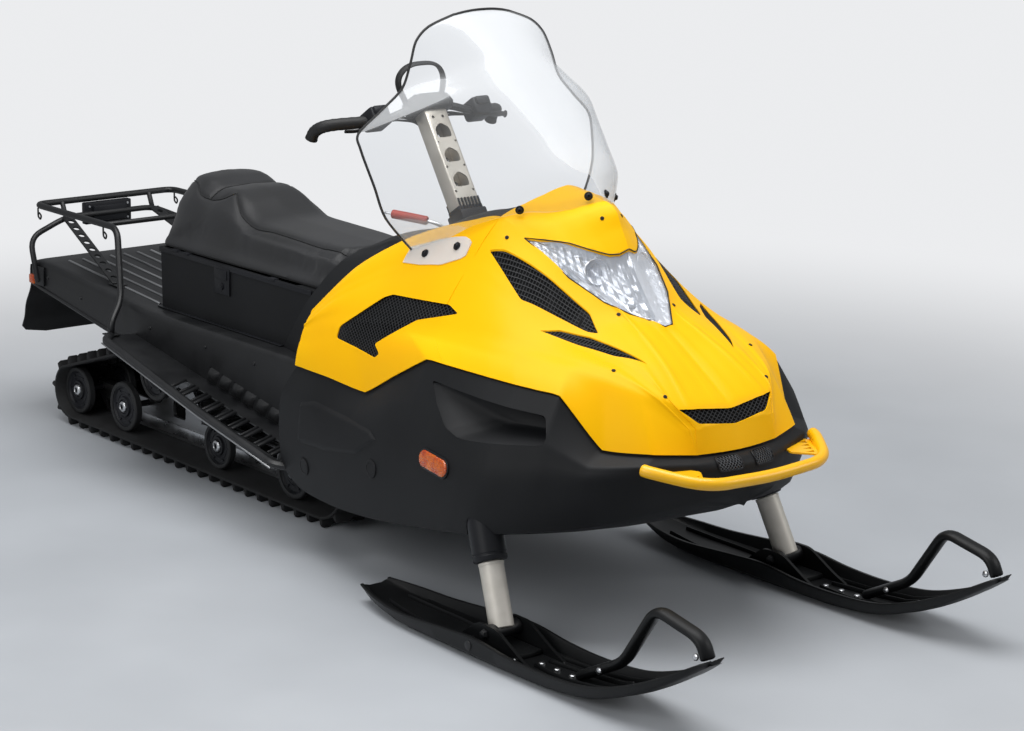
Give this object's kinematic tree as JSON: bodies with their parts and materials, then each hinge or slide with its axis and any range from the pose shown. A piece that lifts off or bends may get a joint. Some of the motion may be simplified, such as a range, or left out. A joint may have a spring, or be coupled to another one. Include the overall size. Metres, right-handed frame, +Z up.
{
  "type": "snowmobile",
  "caption": "Wide-track utility snowmobile with bench seat over a storage box, rear cargo rack, tall windshield, yellow nose and two steered skis.",
  "frame": {"origin": "on the floor under the middle of the whole machine's box", "axes": "+X forward towards the ski tips, +Y to the rider's left, +Z up"},
  "size_m": [3.4656, 1.16, 1.4599],
  "materials": {
    "yellow_paint": "glossy warm yellow paint on plastic and tube",
    "black_plastic": "satin black moulded plastic",
    "black_paint": "satin black powder coat",
    "seat_vinyl": "grained black seat vinyl",
    "track_rubber": "matt black rubber",
    "champagne": "champagne anodised aluminium",
    "bare_aluminium": "bare machined aluminium",
    "dark_steel": "dark blackened steel",
    "clear": "clear polycarbonate",
    "amber": "amber moulded lens",
    "red_lens": "red moulded lens",
    "engine": null,
    "red_enamel": "red lever cover"
  },
  "bodies": {
    "chassis": {"hood": "yellow_paint", "front_bumper": "yellow_paint", "lower_body": "black_plastic", "seat_box": "black_plastic", "console": "black_plastic", "tail_light": "black_plastic", "seat_latch": "black_plastic", "strut_sleeve_left": "black_plastic", "strut_sleeve_right": "black_plastic", "vent_liner_left": "black_plastic", "vent_liner_right": "black_plastic", "front_grille": "black_plastic", "rear_idlers": "black_plastic", "second_idlers": "black_plastic", "third_idlers": "black_plastic", "fourth_idlers": "black_plastic", "carrier_wheels": "black_plastic", "tunnel": "black_paint", "running_board_left": "black_paint", "running_board_right": "black_paint", "cargo_rack": "black_paint", "front_arm": "black_paint", "rear_arm": "black_paint", "track": "track_rubber", "snow_flap": "track_rubber", "slide_rail_left": "bare_aluminium", "slide_rail_right": "bare_aluminium", "headlight_bowl": "bare_aluminium", "drive_axle": "dark_steel", "hitch": "dark_steel", "windshield": "clear", "headlight_lens": "clear", "side_marker_left": "amber", "side_marker_right": "amber", "rear_marker_left": "amber", "rear_marker_right": "amber", "tail_lens": "red_lens", "engine_block": "engine", "shift_lever": "red_enamel"},
    "steering": {"steering_column": "champagne", "column_foot": "black_plastic", "handlebar": "black_plastic", "strap_hoop": "black_plastic", "control_pod_left": "black_plastic", "control_pod_right": "black_plastic"},
    "seat_body": {"seat": "seat_vinyl"},
    "leg_left": {"ski_leg_left": "champagne"},
    "leg_right": {"ski_leg_right": "champagne"},
    "ski_body_left": {"ski_left": "black_plastic"},
    "ski_body_right": {"ski_right": "black_plastic"}
  },
  "joints": [
    {"name": "steering_turn", "type": "hinge", "parent": "chassis", "child": "steering", "pos_m": [0.2378, 0, 0.915], "axis": [-0.5445, 0, 0.8388], "range_deg": [-38, 38]},
    {"name": "ski_steer_left", "type": "hinge", "parent": "chassis", "child": "leg_left", "pos_m": [0.9898, 0.482, 0.088], "axis": [-0.4109, -0.103, 0.9058], "range_deg": [-31, 31]},
    {"name": "ski_steer_right", "type": "hinge", "parent": "chassis", "child": "leg_right", "pos_m": [0.9898, -0.482, 0.088], "axis": [-0.4109, 0.103, 0.9058], "range_deg": [-31, 31]},
    {"name": "ski_pitch_left", "type": "hinge", "parent": "leg_left", "child": "ski_body_left", "pos_m": [1.0018, 0.482, 0.062], "axis": [0, 1, 0], "range_deg": [-12, 12]},
    {"name": "ski_pitch_right", "type": "hinge", "parent": "leg_right", "child": "ski_body_right", "pos_m": [1.0018, -0.482, 0.062], "axis": [0, 1, 0], "range_deg": [-12, 12]},
    {"name": "seat_tilt", "type": "hinge", "parent": "chassis", "child": "seat_body", "pos_m": [-0.5, 0.2125, 0.655], "axis": [-1, 0, 0], "range_deg": [0, 45]}
  ],
  "couplings": [
    {"joint": "ski_steer_left", "follows": "steering_turn", "ratio": 0.8},
    {"joint": "ski_steer_right", "follows": "steering_turn", "ratio": 0.8}
  ]
}
